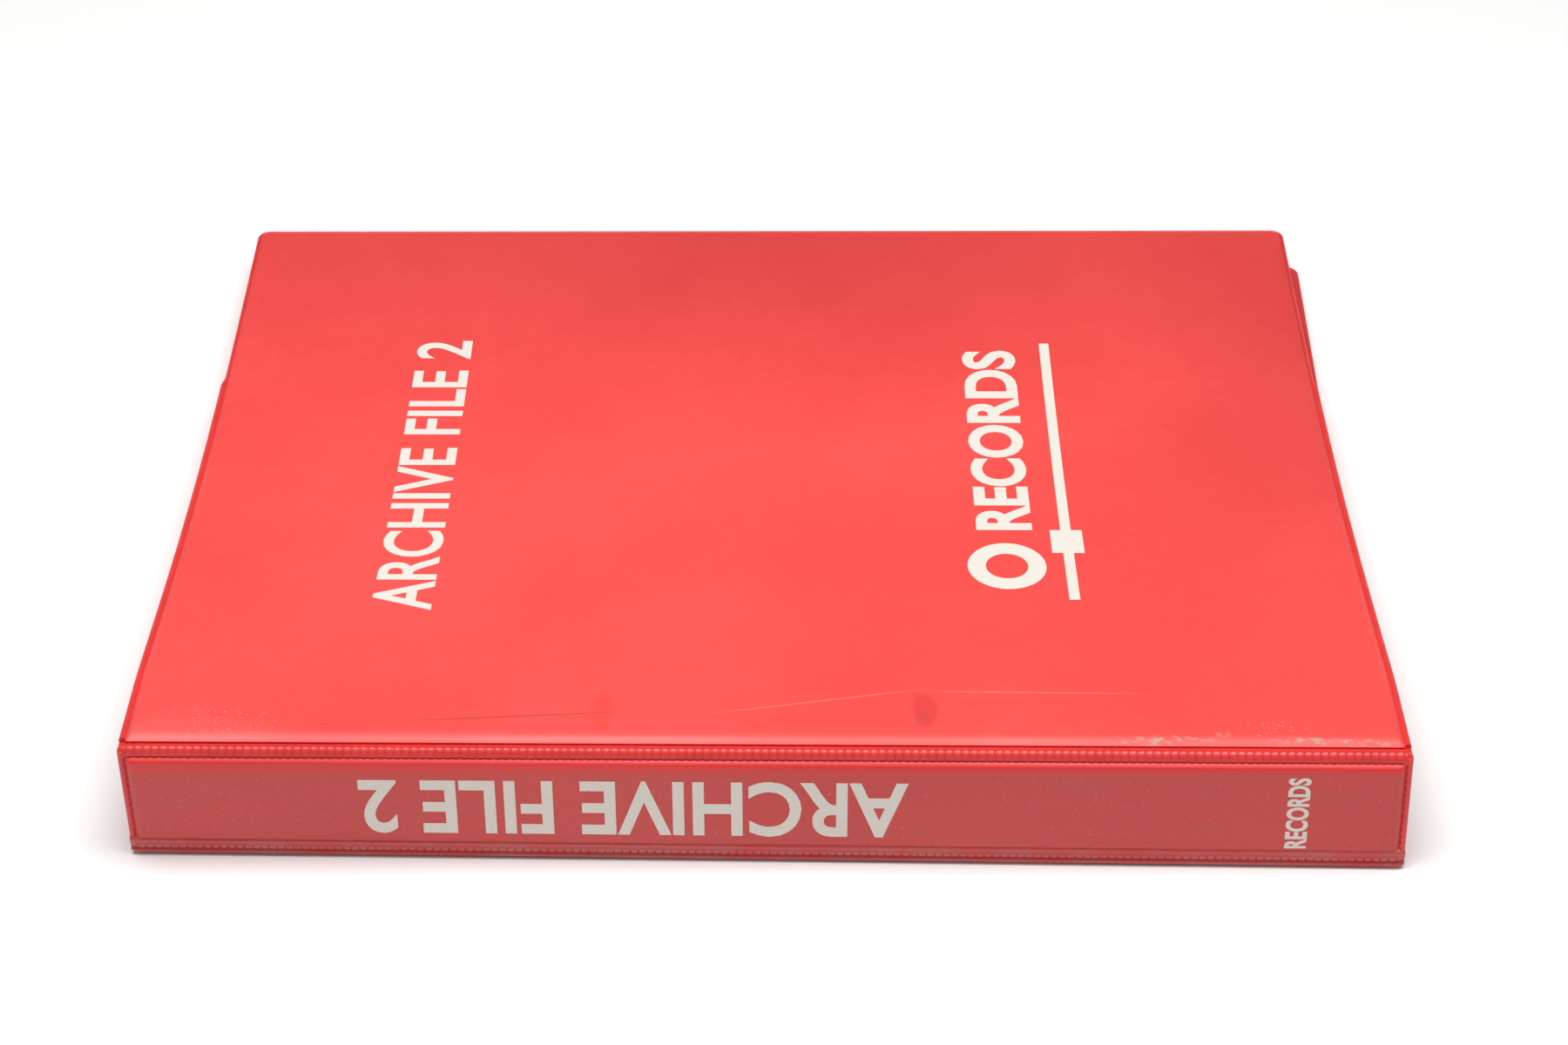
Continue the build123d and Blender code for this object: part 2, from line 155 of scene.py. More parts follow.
class WeldPattern(bpy.types.PropertyGroup):
    """The pressed patterns of the welding tool."""
    rib_pitch: length("Rib pitch", 2.03 * MM, "One pressed cell of the hinge welds, along the spine")
    ridge: FloatProperty(name="Ridge", default=0.45, description="Height of the thin ridges, in rib heights")
    rib_height: length("Rib height", 0.42 * MM, "Height of a cell over the lines between them")
    tooth_pitch: length("Tooth pitch", 2.03 * MM, "One tooth of the rim weld")
    tooth_depth: length("Tooth depth", 0.34 * MM, "Depth of the teeth in the rim's groove")
    web: length("Web", 0.5 * MM, "Thickness of the vinyl in a hinge weld")


class Finishes(bpy.types.PropertyGroup):
    """Colours of the sheets, the print and the mechanism."""
    vinyl: colour("Vinyl", "#F4504B", "Red of the outer sheet, a little faded")
    # Painted shade: the spine's red is a darker, deeper copy of the cover's red, standing in for the shade on
    # the upright spine rather than for less fading.
    vinyl_spine: colour("Vinyl, spine", "#E03431", "Red of the outer sheet over the spine, less faded")
    vinyl_deep: colour("Vinyl, deep", "#CC2828", "Red of the outer sheet in its darker clouds")
    weld: colour("Weld", "#DE3532", "Red of the pressed welds")
    # Partly dust and partly painted sheen: the lower weld's red is duller and hazier than the upper weld's.
    weld_dusty: colour("Weld, dusty", "#C25452", "Red of the lower hinge weld, dulled by dust")
    liner: colour("Liner", "#CC2E30", "Red of the inner sheet")
    print_ink: colour("Print", "#E0D9CF", "Warm white of the screen print")
    scuff: colour("Scuff", "#A39C88", "Grey-green of rubbed-on dirt")
    nickel: colour("Nickel", "#CFCBC4", "Nickel plating")
    grip: colour("Grip", "#17171A", "Black plastic of the lever's grip")
    nylon: colour("Nylon", "#E4DFCF", "Natural nylon of the roller")
    millboard: colour("Millboard", "#A49B8C", "Grey board")


class Lettering(bpy.types.PropertyGroup):
    """Plain words printed on the cover and the spine."""
    title: StringProperty(name="Title", default="ARCHIVE FILE 2", description="Words on the cover and spine")
    word: StringProperty(name="Word", default="RECORDS", description="Bold word on the cover and the spine")
    ink: length("Ink", 0.05 * MM, "Thickness of the print")


class Studio(bpy.types.PropertyGroup):
    """Floor, light and camera."""
    floor: colour("Floor", "#F7F7F6", "Pale floor")
    lens: FloatProperty(name="Lens", default=80.96, description="Focal length in mm on a 36 mm sensor")
    camera_place: FloatVectorProperty(
        name="Camera", default=(0.0156, -0.78048, 0.59375), subtype="TRANSLATION", unit="LENGTH",
        description="Where the camera stands")
    camera_turn: FloatVectorProperty(
        name="Camera turn", default=(radians(52.8517), radians(0.1235), radians(0.8723)), subtype="EULER",
        description="How the camera is turned")
    sky: FloatProperty(name="Sky", default=0.27, description="Strength of the even light from all round")
    softbox: FloatProperty(name="Softbox", default=14.3, description="Power of the large light above, in W")
    front_light: FloatProperty(name="Front light", default=1.0, description="Power of the front light, in W")


# ------------------------------------------------------------------ surfaces
def graded(*spans):
    """Grid lines from spans (start, end, count), even in each span and joined end to end."""
    parts = [np.linspace(a, b, int(n), endpoint=False) for a, b, n in spans]
    return np.append(np.concatenate(parts), spans[-1][1])


def lengths_along(path):
    """Length of a line of points up to each of them, the sum of the steps before it."""
    return np.append(0, np.cumsum(np.linalg.norm(np.diff(path, axis=0), axis=1)))


def unit_tangent(path):
    """Unit tangents of a line of points, from the differences between the neighbours of each."""
    tangent = np.gradient(path, axis=0)
    return tangent / np.linalg.norm(tangent, axis=1)[:, None]


def smooth_line(points, count):
    """A smooth line through points, read at count even steps: cubic spans between the points, whose slopes
    are the centred differences over the chord length."""
    points = np.array(points, float)
    chord = lengths_along(points)
    slope = np.gradient(points, chord, axis=0)
    at = np.linspace(0, chord[-1], count)
    k = np.clip(np.searchsorted(chord, at, side="right") - 1, 0, len(chord) - 2)
    h = (chord[k + 1] - chord[k])[:, None]
    t = (at - chord[k])[:, None] / h
    return ((2 * t**3 - 3 * t**2 + 1) * points[k] + (t**3 - 2 * t**2 + t) * h * slope[k]
            + (3 * t**2 - 2 * t**3) * points[k + 1] + (t**3 - t**2) * h * slope[k + 1])


def ease(t):
    """Smooth step: 3 t ** 2 - 2 t ** 3 between 0 and 1."""
    t = np.clip(t, 0, 1)
    return t * t * (3 - 2 * t)


def piece(name, points, faces, finish, body=None, stands_for=(), crease=40):
    """A mesh object from an array of points and a list of faces, turned outwards by the sign of its volume.
    Edges that turn by more than crease degrees stay sharp."""
    points = points.reshape(-1, 3)
    fan = np.array([face[:4] if len(face) >= 4 else (*face, face[2]) for face in faces])
    a, b, c, d = (points[fan[:, i]] for i in range(4))
    if np.sum(np.cross(a, b) * c) + np.sum(np.cross(a, c) * d) < 0:
        faces = [tuple(face[::-1]) for face in faces]
    mesh = bpy.data.meshes.new(name)
    mesh.from_pydata(points.tolist(), [], faces)
    mesh.shade_smooth()
    mesh.set_sharp_from_angle(angle=radians(crease))
    mesh.materials.append(finish)
    made = bpy.data.objects.new(name, mesh)
    bpy.context.scene.collection.objects.link(made)
    if body:
        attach(made, body)
    if stands_for:
        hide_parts(*stands_for)
    return made


def numbered(rows, columns):
    """Point numbers of a grid, row by row."""
    return np.arange(rows * columns).reshape(rows, columns)


def quads(index, flip=False):
    """Four-sided faces between the rows and columns of a grid of point numbers."""
    corners = [index[:-1, :-1], index[:-1, 1:], index[1:, 1:], index[1:, :-1]]
    faces = np.stack(corners[::-1] if flip else corners, -1).reshape(-1, 4)
    return [tuple(face) for face in faces.tolist()]


def thick_sheet(outer, inner):
    """Points and faces of a closed sheet: the grid outer, the grid inner behind it, and a wall along the
    four edges."""
    index = numbered(*outer.shape[:2])
    behind = index.size
    border = np.concatenate([index[0, :-1], index[:-1, -1], index[-1, :0:-1], index[:0:-1, 0]])
    after = np.roll(border, -1)
    wall = np.stack([after, border, border + behind, after + behind], -1).tolist()
    faces = quads(index) + quads(index + behind, True) + [tuple(face) for face in wall]
    return np.concatenate([outer.reshape(-1, 3), inner.reshape(-1, 3)]), faces


def swept(rings):
    """Points and faces of a closed profile carried along a path: rings is path x profile x 3, with a flat
    face at each end."""
    index = numbered(*rings.shape[:2])
    around = np.pad(index, ((0, 0), (0, 1)), "wrap")
    return rings, quads(around) + [tuple(index[0, ::-1].tolist()), tuple(index[-1].tolist())]


# ------------------------------------------------------------------ how the closed file has settled
def settle(x, y, z, level, rise):
    """A point turned about the vertical through the middle of the spine and shifted along Y, by amounts that
    run from the back cover's at level 0 to the front cover's at level 1, and lifted by twist * x / HALF *
    rise."""
    shape = bpy.context.scene.file_cover
    turn = shape.back_turn + (shape.front_turn - shape.back_turn) * level
    shift = shape.back_shift + (shape.front_shift - shape.back_shift) * level
    reach = y - SPINE_Y
    place = (x * np.cos(turn) - reach * np.sin(turn),
             SPINE_Y + x * np.sin(turn) + reach * np.cos(turn) + shift,
             z + shape.twist * x / HALF * rise)
    return np.stack(np.broadcast_arrays(*place), -1)


def on_front(x, s, n):
    """Place of a point of the front cover: sunk by the dish, then tipped about the hinge axis and settled.
    The dish is a half sine over the panel, of a place that grows with its square for the first soft share
    and is then drawn towards the hinge by the power skew."""
    shape = bpy.context.scene.file_cover
    soft, skew = 0.06, 0.9
    t = np.clip((s - shape.dish_start) / (FRONT_DEPTH - shape.dish_start), 0, 1)
    sag = shape.dish * np.sin(pi * ((1 + soft) * t * t / (t + soft)) ** skew)
    y = FRONT_START + s - AXIS_IN
    z = AXIS_IN + n - sag
    tip = shape.slope
    return settle(x, AXIS_Y + y * cos(tip) + z * sin(tip), AXIS_Z - y * sin(tip) + z * cos(tip),
                  1.0, 1 - s / FRONT_DEPTH)


def on_back(x, s, n):
    """Place of a point of the back cover, outer face down."""
    return settle(x, SPINE_Y + BACK_START + s, -n, 0.0, 0.0)


def on_spine(x, z, n):
    """Place of a point of the spine at height z, n out of its outer face."""
    level = np.clip(z / TOP, 0, 1)
    return settle(x, SPINE_Y - n, z, level, level)


def on_spine_panel(x, s, n):
    """Place of a point of the spine's padded face, s above its lower edge."""
    return on_spine(x, SPINE_FOOT + s, n)


def edge_fall(distance, width, drop):
    """Fall of the vinyl over a board's edge: drop * (1 - distance / width) ** 2.3, up to width inside it."""
    return drop * (1 - np.clip(distance / width, 0, 1)) ** 2.3


def padded_face(x, s, half, depth, on_the_spine=False):
    """Height of a padded face: minus the falls along its four edges, added as a cube root of cubes, plus a
    puff just inside the edge, that rises and fades exponentially, and slow waves away from it, a product of
    two sines and half a third."""
    shape = bpy.context.scene.file_cover
    puff_start, puff_fade, calm = 0.002, 0.009, 0.02
    inside = [half - np.abs(x), s, depth - s]
    side = (shape.shoulder, shape.shoulder_drop)
    near, far = (shape.hinge_shoulder, shape.shoulder_drop), side
    if on_the_spine:
        near, far = (shape.shoulder, shape.spine_foot), (shape.spine_shoulder, shape.spine_drop)
    falls = sum(edge_fall(distance, *edge) ** 3 for distance, edge in zip(inside, (side, near, far)))
    nearest = np.minimum(np.minimum(inside[0], inside[1]), inside[2])
    puff = shape.puff * (1 - np.exp(-nearest / puff_start)) * np.exp(-nearest / puff_fade)
    waves = np.sin(x / 0.041 + 0.7) * np.sin(s / 0.033 + 0.4) + 0.5 * np.sin(x / 0.017 + s / 0.023)
    return -np.cbrt(falls) + puff + shape.ripple * waves * ease(nearest / calm)


def face_lines(half, depth):
    """Grid lines of a padded face, close together at its edges: (x lines, s lines)."""
    fine, near = 3.6 * MM, 14 * MM                  # how far the closest and the closer lines reach
    finest, least, columns, spacing = 14, 8, 92, 3.4 * MM
    x = graded((-half, -half + fine, finest), (-half + fine, -half + near, 7),
               (-half + near, half - near, columns),
               (half - near, half - fine, 7), (half - fine, half, finest))
    rows = max(least, (depth - 2 * near) // spacing) if depth > 3 * near else least
    near = min(near, 0.3 * depth)
    s = graded((0, fine, finest), (fine, near, 6),
               (near, depth - near, rows),
               (depth - near, depth - fine, 6), (depth - fine, depth, finest))
    return x, s


def round_far_corners(x, s, half, depth, radius):
    """Rounds the two far corners of a grid: in each corner square a point is pulled onto a circle as far
    from the square's inner corner as its larger coordinate."""
    a = np.clip(np.abs(x) - (half - radius), 0, None)
    b = np.clip(s - (depth - radius), 0, None)
    pull = np.where((a > 0) & (b > 0), np.maximum(a, b) / np.maximum(np.hypot(a, b), 1e-9), 1)
    side = np.minimum(np.abs(x), half - radius) + a * pull
    return np.sign(x) * side, np.minimum(s, depth - radius) + b * pull


def vinyl_pair(panel, place, x, s, raised, sunk, finish):
    """The outer and the inner sheet of a panel over the same grid: the outer face is raised and partly sunk,
    the inner one is the raised face turned inwards."""
    sheet = bpy.context.scene.file_cover.sheet
    high, low = raised - sunk, -PANEL - INNER_SHARE * raised
    for layer, face, back, paint, node, slot in (
            ("outer", high, high - sheet, finish, "skin", "cover_vinyl"),
            ("inner", low, low + sheet, liner_finish(), "liner", "liner_vinyl")):
        points, faces = thick_sheet(place(x, s, face), place(x, s, back))
        piece(f"{panel}_{layer}", points, faces, paint, panel, [f"{panel}_{node}"])


def panel_board(panel, place, x, s):
    """The board between the two sheets of a panel."""
    flat = np.zeros_like(x)
    points, faces = thick_sheet(place(x, s, flat - BOARD_IN), place(x, s, flat - PANEL + BOARD_IN))
    board = kept("grey millboard", millboard)
    piece(f"{panel}_millboard", points, faces, board, panel, [f"{panel}_board"])


def cover_sheets(panel, place, depth, finish, dents=()):
    """The two sheets and the board of one cover. A dent (x, s, radius, depth) is a flat-bottomed round hollow
    in the outer face, with a wall about a sixth of its radius wide."""
    shape = bpy.context.scene.file_cover
    reach, wall, board_inset = 1.2, 0.16, 2.7 * MM
    half, end = HALF - shape.rim, depth - shape.rim
    x, s = face_lines(half, end)
    for dent_x, dent_s, radius, _ in dents:
        x = np.union1d(x, dent_x + np.linspace(-reach, reach, 17) * radius)
        s = np.union1d(s, dent_s + np.linspace(-reach, reach, 17) * radius)
    x, s = np.meshgrid(x, s)
    raised = padded_face(x, s, half, end)
    sunk = np.zeros_like(x)
    for dent_x, dent_s, radius, sink in dents:
        from_wall = radius * (1 + wall / 2) - np.hypot(x - dent_x, s - dent_s)
        sunk += sink * ease(from_wall / (wall * radius))
    vinyl_pair(panel, place, *round_far_corners(x, s, half, end, 0.7 * shape.corner), raised, sunk, finish)
    half, end = half - board_inset, end - board_inset
    x, s = np.meshgrid(graded((-half, half, 60)), graded((board_inset, end, 60)))
    panel_board(panel, place, *round_far_corners(x, s, half, end, 0.5 * shape.corner))


def rim_rings(path, inward, along, place, narrowing):
    """Rings of the rim weld: the section (e, n) stands e inwards from the outline and n out of the outer
    face. Its groove has teeth, a raised cosine of the length along the path, and narrowing draws the outer
    bead in."""
    weld = bpy.context.scene.file_weld
    groove_at, groove_width = 1.55 * MM, 0.38 * MM
    e, n = (np.array(RIM_SECTION) * MM).T
    groove = np.exp(-((e - groove_at) / groove_width) ** 2) * (np.arange(len(e)) < RIM_UPPER)
    teeth = weld.tooth_depth * (0.5 + 0.5 * np.cos(2 * pi * along / weld.tooth_pitch))[:, None] * groove
    e = e + narrowing[:, None] * (1 - e / e.max())
    spot = path[:, None, :] + inward[:, None, :] * e[..., None]
    return place(spot[..., 0], spot[..., 1], n + teeth - 0.5 * weld.tooth_depth * groove)


def cover_rim(panel, place, depth):
    """The rim weld of a cover: its section carried from the hinge along one side, round the fore-edge and
    back."""
    shape = bpy.context.scene.file_cover
    start, step_length = 0.6 * MM, 4 * MM
    r = shape.corner
    side = np.arange(start, depth - r, PATH_STEP)
    arc = np.linspace(0, pi / 2, 17)[1:-1]
    across = np.arange(-HALF + r, HALF - r, PATH_STEP)
    left = [np.stack([np.full_like(side, -HALF), side], -1),
            np.stack([-HALF + r - r * np.cos(arc), depth - r + r * np.sin(arc)], -1)]
    path = np.concatenate(left + [np.stack([across, np.full_like(across, depth)], -1)]
                          + [(part * [-1, 1])[::-1] for part in left[::-1]])
    tangent = unit_tangent(path)
    inward = np.stack([tangent[:, 1], -tangent[:, 0]], -1)
    narrowing = shape.rim_step * ease((path[:, 1] - shape.rim_step_at) / step_length)
    points, faces = swept(rim_rings(path, inward, lengths_along(path), place, narrowing))
    piece(f"{panel}_rim", points, faces, weld_finish(), panel)


def hinge_strip(name, profile, band, finish):
    """A ribbed hinge weld: a smooth outer line in the YZ plane, carried along X and backed by an inner face
    one web behind it. Within the band, two shares of the line, it is pushed out in cells, each 1 minus the
    fourth power of the place in it, parted by thin ridges. Both ends are rounded in. The attribute groove is
    1 in the lines between the cells."""
    weld = bpy.context.scene.file_weld
    rows, per_cell = 24, 12
    ridge_width, groove_width = 0.09, 0.16          # as shares of half a cell
    end_length, end_sink = 2.4 * MM, 0.55 * MM
    line = smooth_line(np.array(profile) * MM, rows)
    tangent = unit_tangent(line)
    normal = np.stack([-tangent[:, 1], tangent[:, 0]], -1)
    ribs = round(2 * HALF / weld.rib_pitch)
    x = np.linspace(-HALF, HALF, ribs * per_cell + 1)[None, :]
    cell = np.abs(2 * np.modf((x + HALF) * ribs / (2 * HALF) + 1e-9)[0] - 1)
    across = np.clip((np.linspace(0, 1, rows) - band[0]) / (band[1] - band[0]), 0, 1)
    in_band = (1 - np.abs(2 * across - 1) ** 6)[:, None]
    pillow = 1 - cell ** 4 + weld.ridge * np.exp(-((1 - cell) / ridge_width) ** 2)
    from_end = np.clip((HALF - np.abs(x)) / end_length, 0, 1)
    sink = end_sink * (1 - from_end) ** 2.5
    bulge = weld.rib_height * pillow * in_band * ease(from_end) - sink
    sheets = []
    for push in (bulge, np.full_like(bulge, -weld.web) - sink):
        y, z = (line[:, axis, None] + normal[:, axis, None] * push for axis in (0, 1))
        sheets.append(on_spine(x + 0 * y, z, -y))
    points, faces = thick_sheet(*sheets)
    made = piece(name, points, faces, finish)
    groove = np.exp(-((1 - cell) / groove_width) ** 2) * in_band
    made.data.attributes.new("groove", "FLOAT", "POINT").data.foreach_set("value", np.tile(groove.ravel(), 2))
    return made


# ------------------------------------------------------------------ materials
def add(tree, kind, values=None, **settings):
    """Adds a node, sets its properties, and sets its inputs: an output given as a value is linked."""
    made = tree.nodes.new(kind)
    for key, value in settings.items():
        setattr(made, key, value)
    for key, value in (values or {}).items():
        if isinstance(value, bpy.types.NodeSocket):
            tree.links.new(value, made.inputs[key])
        else:
            made.inputs[key].default_value = value
    return made


def fresh(name):
    """A new material: (material, tree, shader, object coordinates)."""
    made = bpy.data.materials.new(name)
    made.use_nodes = True
    tree = made.node_tree
    shader = tree.nodes["Principled BSDF"]
    place = add(tree, "ShaderNodeTexCoord").outputs["Object"]
    return made, tree, shader, place


def noise(tree, place, size, detail, **values):
    """Noise with features of that size in metres."""
    return add(tree, "ShaderNodeTexNoise",
               {"Vector": place, "Scale": 1 / size, "Detail": detail, **values}).outputs["Fac"]


def clouds(tree, place, size, detail, low, high):
    """Soft patches of that size in metres: 0 where the noise is below low, and 1 where it is above high."""
    return add(tree, "ShaderNodeMapRange",
               {"Value": noise(tree, place, size, detail), "From Min": low, "From Max": high},
               interpolation_type="SMOOTHSTEP").outputs["Result"]


def ramp(tree, value, **ends):
    """A value carried evenly from one range to another, with ends From_Min, From_Max, To_Min and To_Max."""
    values = {name.replace("_", " "): end for name, end in ends.items()}
    return add(tree, "ShaderNodeMapRange", {"Value": value, **values}).outputs["Result"]


def stretched(tree, place, scale):
    """Coordinates multiplied by scale, so that patches grow long along an axis scaled by less."""
    return add(tree, "ShaderNodeMapping", {"Vector": place, "Scale": scale}).outputs["Vector"]


def times(tree, a, b):
    """The product of two values."""
    return add(tree, "ShaderNodeMath", {0: a, 1: b}, operation="MULTIPLY").outputs[0]


def mixed(tree, share, a, b):
    """Colour a where share is 0, and b where it is 1."""
    return add(tree, "ShaderNodeMix", {0: share, 6: a, 7: b}, data_type="RGBA").outputs[2]


def spot(tree, place, centre, size, turn=0.0, sharp=1.0):
    """A soft oval at centre, with half-axes size, turned about Z: 1 in its middle and 0 outside."""
    moved = add(tree, "ShaderNodeMapping",
                {"Vector": place, "Location": centre, "Rotation": (0, 0, turn), "Scale": size},
                vector_type="TEXTURE").outputs["Vector"]
    oval = add(tree, "ShaderNodeTexGradient", {"Vector": moved}, gradient_type="SPHERICAL").outputs["Fac"]
    return add(tree, "ShaderNodeMapRange", {"Value": oval, "From Max": 1 / sharp},
               interpolation_type="SMOOTHSTEP").outputs["Result"]


def painted(tree, shader, paint):
    """Makes the surface that colour."""
    tree.links.new(paint, shader.inputs["Base Color"])


def roughened(tree, shader, value, low, high):
    """Makes the surface as rough as low where value is 0, and as high where it is 1."""
    tree.links.new(ramp(tree, value, To_Min=low, To_Max=high), shader.inputs["Roughness"])


def bumped(tree, shader, height, depth, strength):
    """Raises the surface by depth metres where height is 1."""
    bump = add(tree, "ShaderNodeBump", {"Height": height, "Distance": depth, "Strength": strength})
    tree.links.new(bump.outputs["Normal"], shader.inputs["Normal"])


def calendered_vinyl(name, base, deep, marks=None):
    """Plasticised PVC sheet, rolled between matt calender rolls: a clear waxy red with a satin, finely
    pebbled face that clouds a little where it has been handled. The grain is drawn at 0.9 mm, coarser than
    the real 0.3 mm, so that it shows."""
    made, tree, shader, place = fresh(name)
    handled = clouds(tree, place, 0.075, 4.0, 0.30, 0.72)
    fine = clouds(tree, place, 0.004, 5.0, 0.25, 0.75)
    pebbles = noise(tree, place, 0.9 * MM, 3.0, Roughness=0.6)
    speck = ramp(tree, pebbles, From_Min=0.60, From_Max=0.74)
    paint = mixed(tree, times(tree, handled, 0.34), base, deep)
    paint = mixed(tree, times(tree, fine, 0.10), paint, deep)
    paint = mixed(tree, times(tree, speck, 0.22), paint, deep)
    for mask, share, tint in (marks(tree, place) if marks else ()):
        paint = mixed(tree, times(tree, mask, share), paint, tint)
    painted(tree, shader, paint)
    roughened(tree, shader, handled, 0.36, 0.46)
    shader.inputs["IOR"].default_value = 1.53
    shader.inputs["Specular IOR Level"].default_value = 0.40
    bumped(tree, shader, pebbles, 0.05 * MM, 0.55)
    return made


def cover_point(x, s):
    """A point of the front cover's face, x and s in mm."""
    return tuple(on_front(np.array(x * MM), np.array(s * MM), np.array(0.0)).tolist())


def cover_marks(tree, place):
    """Marks on the front cover: two dull presses over the arches, a dark and two pale scratches and dirt
    rubbed
    along the hinge edge, all from use; painted shade that darkens the fore-edge; and a darker right end:
    (mask, share, colour)."""
    scuff = bpy.context.scene.file_finish.scuff
    turn = bpy.context.scene.file_cover.front_turn
    dirt = clouds(tree, stretched(tree, place, (0.45, 1.0, 1.0)), 0.0010, 5.0, 0.47, 0.68)
    grit = clouds(tree, place, 0.0008, 3.0, 0.60, 0.70)
    deep, dark, pale = linear("#9E1418"), linear("#4A2A26"), linear("#F49A92")
    rust, dusty, chalk = linear("#7A3A34"), linear("#B0726A"), linear("#F2B8B0")
    # Painted shade: the first spot darkens the whole fore-edge of the cover. The second spot darkens the
    # right end.
    marks = [(spot(tree, place, cover_point(0, 262), (0.30, 0.11, 0.1)), 0.42, deep),
             (spot(tree, place, cover_point(175, 200), (0.10, 0.16, 0.1)), 0.35, deep)]
    # Each row: x and s of the middle and both half-axes in mm, extra turn, sharpness, grain, share, colour.
    rows = [
        (-40.2, 11.5, 3.6, 10, 0.0, 1.8, None, 0.16, deep),
        (39.3, 13, 4.2, 8.5, 0.08, 2.2, None, 0.26, deep),
        (38.5, 8.5, 3.0, 4.5, 0.0, 2.0, None, 0.12, dark),
        (-102, 6, 14, 0.5, 0.09, 2.5, dirt, 0.40, dark),
        (-62, 9.3, 34, 0.34, 0.078, 2.0, None, 0.42, dark),
        (13, 16.2, 34, 0.40, 0.20, 2.0, None, 0.24, pale),
        (66, 20.4, 34, 0.40, -0.01, 2.0, None, 0.24, pale),
        (97, 1.4, 16, 1.6, 0.02, 1.8, dirt, 0.90, scuff),
        (139, 1.2, 19, 1.5, -0.03, 1.8, dirt, 0.85, scuff),
        (112, 3.4, 2.6, 1.4, 0.0, 1.6, dirt, 0.90, scuff),
        (119, 18, 6, 19, 0.2, 1.5, grit, 0.42, rust),
        (124, 5, 12, 7, 0.0, 1.5, grit, 0.55, scuff),
        (-142, 2.5, 34, 8, 0.0, 1.5, None, 0.20, dusty),
        (-133, 6.5, 24, 9, 0.0, 1.5, grit, 0.30, chalk),
    ]
    high = 30 * MM
    for x, s, long, wide, extra, sharp, grain, share, tint in rows:
        mask = spot(tree, place, cover_point(x, s), (long * MM, wide * MM, high), turn + extra, sharp)
        marks.append((times(tree, mask, grain) if grain else mask, share, tint))
    return marks


def spine_marks(tree, place):
    """Dust and a painted sheen on the flat of the spine: a dull haze that is partly dust and partly a painted
    reflection of the pale surroundings, dust streaks along it and fine specks, all under a cleaner rounded
    top:
    (mask, share, colour)."""
    height = add(tree, "ShaderNodeSeparateXYZ", {"Vector": place}).outputs["Z"]
    flat = ramp(tree, height, From_Min=28.4 * MM, From_Max=26.4 * MM)
    streaks = clouds(tree, stretched(tree, place, (0.14, 1.0, 1.0)), 0.004, 4.0, 0.35, 0.72)
    dust = clouds(tree, place, 0.0009, 3.0, 0.60, 0.72)
    # Partly dust and partly painted reflection: the dull haze over the flat of the spine.
    return [(flat, 0.34, linear("#A45654")),
            (times(tree, flat, streaks), 0.22, linear("#B0504E")),
            (times(tree, dust, flat), 0.10, linear("#E3A8A0"))]


def pressed_vinyl(name, base, deep, dirt):
    """PVC welded under a heated tool: smoother than the sheet, a deeper red where it is squeezed thin, with
    the lines between the cells darkened, partly by dirt and partly as painted shade."""
    made, tree, shader, place = fresh(name)
    cloud = clouds(tree, place, 0.012, 4.0, 0.3, 0.7)
    groove = add(tree, "ShaderNodeAttribute", attribute_name="groove").outputs["Fac"]
    paint = mixed(tree, times(tree, cloud, 0.6), base, deep)
    # Dirt and painted shade: the lines between the cells are darkened towards a dark red-brown.
    painted(tree, shader, mixed(tree, times(tree, groove, dirt), paint, linear("#4E1A1E")))
    roughened(tree, shader, cloud, 0.34, 0.44)
    shader.inputs["IOR"].default_value = 1.53
    bumped(tree, shader, noise(tree, place, 0.5 * MM, 2.0), 0.02 * MM, 0.5)
    return made


def screen_print(name):
    """Screen-printed vinyl ink: an opaque, dead matt warm white, with pinholes and thin places where the red
    shows through."""
    finish = bpy.context.scene.file_finish
    made, tree, shader, place = fresh(name)
    pinholes = clouds(tree, place, 0.0007, 2.0, 0.66, 0.74)
    thin = clouds(tree, place, 0.010, 4.0, 0.55, 0.80)
    paint = mixed(tree, times(tree, thin, 0.10), finish.print_ink, finish.vinyl)
    painted(tree, shader, mixed(tree, times(tree, pinholes, 0.35), paint, finish.vinyl))
    shader.inputs["Roughness"].default_value = 0.62
    shader.inputs["Specular IOR Level"].default_value = 0.3
    bumped(tree, shader, noise(tree, place, 0.9 * MM, 3.0), 0.03 * MM, 0.4)
    return made


def nickel_plate(name, rough, lines):
    """Nickel-plated steel: a warm grey mirror, blurred by the rolling lines of the strip or the drawing lines
    of the wire, whose number to the metre is given for each axis."""
    made, tree, shader, place = fresh(name)
    streaks = noise(tree, stretched(tree, place, lines), 1.0, 4.0)
    stain = clouds(tree, place, 0.014, 4.0, 0.45, 0.8)
    base = bpy.context.scene.file_finish.nickel
    painted(tree, shader, mixed(tree, times(tree, stain, 0.35), base, linear("#9C958A")))
    shader.inputs["Metallic"].default_value = 1.0
    roughened(tree, shader, streaks, rough, rough + 0.16)
    bumped(tree, shader, streaks, 0.01 * MM, 0.4)
    return made


def moulded_plastic(name, base, rough, grain):
    """Injection-moulded plastic: an even colour with the faint spark-eroded grain of its mould and light
    rubs."""
    made, tree, shader, place = fresh(name)
    rubs = clouds(tree, place, 0.006, 4.0, 0.5, 0.8)
    lighter = tuple(min(1.0, 1.5 * c + 0.01) for c in base[:3]) + (1.0,)
    painted(tree, shader, mixed(tree, times(tree, rubs, 0.4), tuple(base), lighter))
    roughened(tree, shader, rubs, rough, rough + 0.12)
    bumped(tree, shader, noise(tree, place, grain, 2.0), 0.02 * MM, 0.5)
    return made


